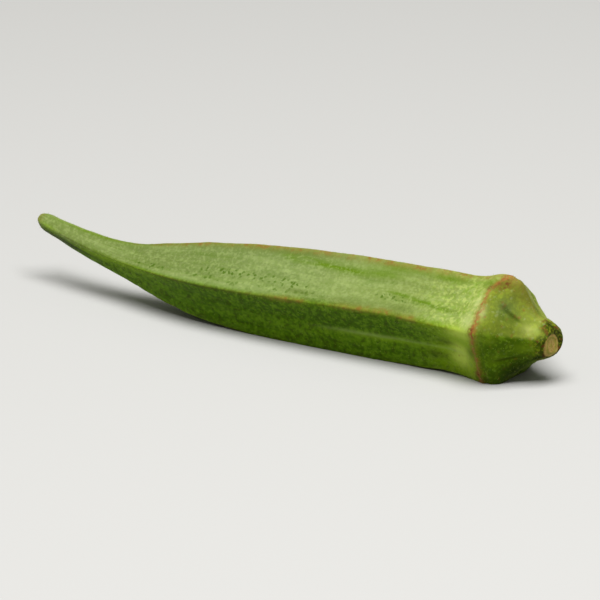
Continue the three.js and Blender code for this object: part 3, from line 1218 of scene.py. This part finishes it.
# %% Hairs
HAIR_LENGTH = 0.42 * MM
HAIR_RADIUS = 0.022 * MM
HAIR_SINK = 0.05 * MM  # how deep the roots sit in the skin
HAIRS_PER_M2 = 1.9e6
HAIR_LEAN = 0.55
HAIR_SCALES = (0.55, 1.25)
BARE_HEIGHT = 0.5 * MM  # no hairs on skin that is pressed to the floor
DOWN_INPUTS = {"Length": HAIR_LENGTH, "Radius": HAIR_RADIUS, "Hairs per m2": HAIRS_PER_M2,
               "Seed": 7, "Material": None}
DOWN_FINISH = {"Base Color": paint(162, 180, 92), "Roughness": 0.7, "Specular IOR Level": 0.1}


def hair_density(tree, most):
    """Thick near the ridges and on the beak, thin elsewhere, none on the cut face."""
    distance = named(tree, "distance")
    near_ridge = bump(named(tree, "from_ridge"), 0, 0.22)
    on_beak = beyond(distance, 78, 104) * 0.5
    off_cut = beyond(distance, 0.3, 1.2)
    height = parts_of(step(tree, "GeometryNodeInputPosition"))[2]
    off_floor = smooth_step(height, BARE_HEIGHT, BARE_HEIGHT * 2)
    return (near_ridge * 0.6 + on_beak * 0.5 + 0.3) * off_cut * off_floor * most


def random_number(tree, low, high, seed):
    node = add_node(tree, "FunctionNodeRandomValue", {"Seed": seed}, data_type="FLOAT")
    node.inputs[2].default_value, node.inputs[3].default_value = low, high
    return Wire(tree, node.outputs[1])


print("hair length, mm:", HAIR_LENGTH / MM)

# %% Down tree
def make_down_tree():
    tree, given = new_tree("okra_down", DOWN_INPUTS)
    scatter = add_node(tree, "GeometryNodeDistributePointsOnFaces", {
        "Mesh": given["Geometry"], "Density": hair_density(tree, given["Hairs per m2"]),
        "Seed": given["Seed"],
    }, distribute_method="RANDOM")
    spike = step(tree, "GeometryNodeMeshCone", {
        "Vertices": 3, "Radius Top": 0.0, "Radius Bottom": given["Radius"],
        "Depth": given["Length"],
    })
    sunk = vector_of(tree, 0, 0, -HAIR_SINK)
    spike = step(tree, "GeometryNodeSetPosition", {"Geometry": spike, "Offset": sunk})
    lean = vector_of(tree, *(random_number(tree, -HAIR_LEAN, HAIR_LEAN, seed)
                             for seed in (1, 2, 3)))
    standing = Wire(tree, scatter.outputs["Normal"]) + lean
    upright = step(tree, "FunctionNodeAlignRotationToVector", {"Vector": standing}, axis="Z")
    hairs = step(tree, "GeometryNodeInstanceOnPoints", {
        "Points": Wire(tree, scatter.outputs["Points"]), "Instance": spike,
        "Rotation": upright, "Scale": random_number(tree, *HAIR_SCALES, 4),
    })
    end_tree(tree, hairs, given["Material"])
    return tree


down_tree = make_down_tree()
print("down tree nodes:", len(down_tree.nodes))

# %% Grow the down
def make_down(skin):
    """Grow the hairs on a copy of the skin, which the tree then leaves out."""
    down = add_object("down", skin.data.copy())
    material = finish_material(new_material("down"), DOWN_FINISH)
    run_tree(down, down_tree, {**DOWN_INPUTS, "Material": material})
    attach(down, "root")
    return down


pod_down = make_down(pod_skin)
print("hairs:", len(pod_down.data.vertices) // 4, "faces:", len(pod_down.data.polygons))

# %% [markdown]
# ## Floor, light and camera
#
# A plain pale floor, one large soft light overhead and a faint fill: the upper faces come out
# bright and those that look down stay deep green, helped by the skin's painted light and shade,
# which makes a ridged pod read as ridged.

# %% Floor
FLOOR_SIZE = 3.0
FLOOR_FINISH = {"Base Color": (0.43, 0.43, 0.44, 1.0), "Roughness": 0.9}


def make_floor():
    half = FLOOR_SIZE / 2
    mesh = bpy.data.meshes.new("floor")
    corners = [(-half, -half, 0), (half, -half, 0), (half, half, 0), (-half, half, 0)]
    mesh.from_pydata(corners, [], [(0, 1, 2, 3)])
    mesh.materials.append(finish_material(new_material("floor"), FLOOR_FINISH))
    return add_object("floor", mesh)


make_floor()
print("floor:", FLOOR_SIZE, "m")

# %% [markdown]
# One broad lamp almost overhead, a little towards the viewer's side, gives the soft bright
# upper face and the clear change of tone over each ridge. The faint even surroundings fill
# the shaded faces just enough to keep their green.

# %% Lights
LAMP_PLACE = (0.2, -0.22, 1.16)
LAMP = {"shape": "SQUARE", "size": 0.9, "energy": 27, "color": (1.0, 0.99, 0.95)}
SURROUNDINGS = {"Color": (1.0, 1.0, 0.84, 1.0), "Strength": 0.25}


def make_lamp():
    """A square soft light that looks at the pod."""
    lamp = bpy.data.lights.new("key_overhead", "AREA")
    for name, value in LAMP.items():
        setattr(lamp, name, value)
    light = add_object("key_overhead", lamp)
    light.location = LAMP_PLACE
    light.rotation_euler = Vector(LAMP_PLACE).to_track_quat("Z", "Y").to_euler()


def make_surroundings():
    world = bpy.data.worlds.new("studio")
    world.use_nodes = True
    for name, value in SURROUNDINGS.items():
        world.node_tree.nodes["Background"].inputs[name].default_value = value
    bpy.context.scene.world = world


make_lamp()
make_surroundings()
bpy.context.scene.view_settings.view_transform = "Standard"

# %% [markdown]
# The camera stands low, on the side of the stem, so the cap is near and the beak runs away
# from it. It is set by turn and rise round the pod, and a long lens from over a metre away
# keeps the perspective mild.

# %% Camera
CAMERA_AZIMUTH = 35.0  # degrees, from looking along +Y round towards the stem
CAMERA_ELEVATION = 17.0
CAMERA_DISTANCE = 1.294
CAMERA_TARGET = Vector((3.0, 0.1, 6.98)) * MM
FRAME_WIDTH = 125 * MM  # how much of the target's plane the picture is wide


def make_camera():
    turn, rise = math.radians(CAMERA_AZIMUTH), math.radians(CAMERA_ELEVATION)
    back = Vector((math.sin(turn) * math.cos(rise), -math.cos(turn) * math.cos(rise),
                   math.sin(rise)))
    lens = bpy.data.cameras.new("camera")
    lens.lens = lens.sensor_width * CAMERA_DISTANCE / FRAME_WIDTH
    lens.clip_start = 0.01
    camera = add_object("camera", lens)
    camera.location = CAMERA_TARGET + back * CAMERA_DISTANCE
    camera.rotation_euler = back.to_track_quat("Z", "Y").to_euler()
    bpy.context.scene.camera = camera
    return camera


print(f"lens: {make_camera().data.lens:.0f} mm")
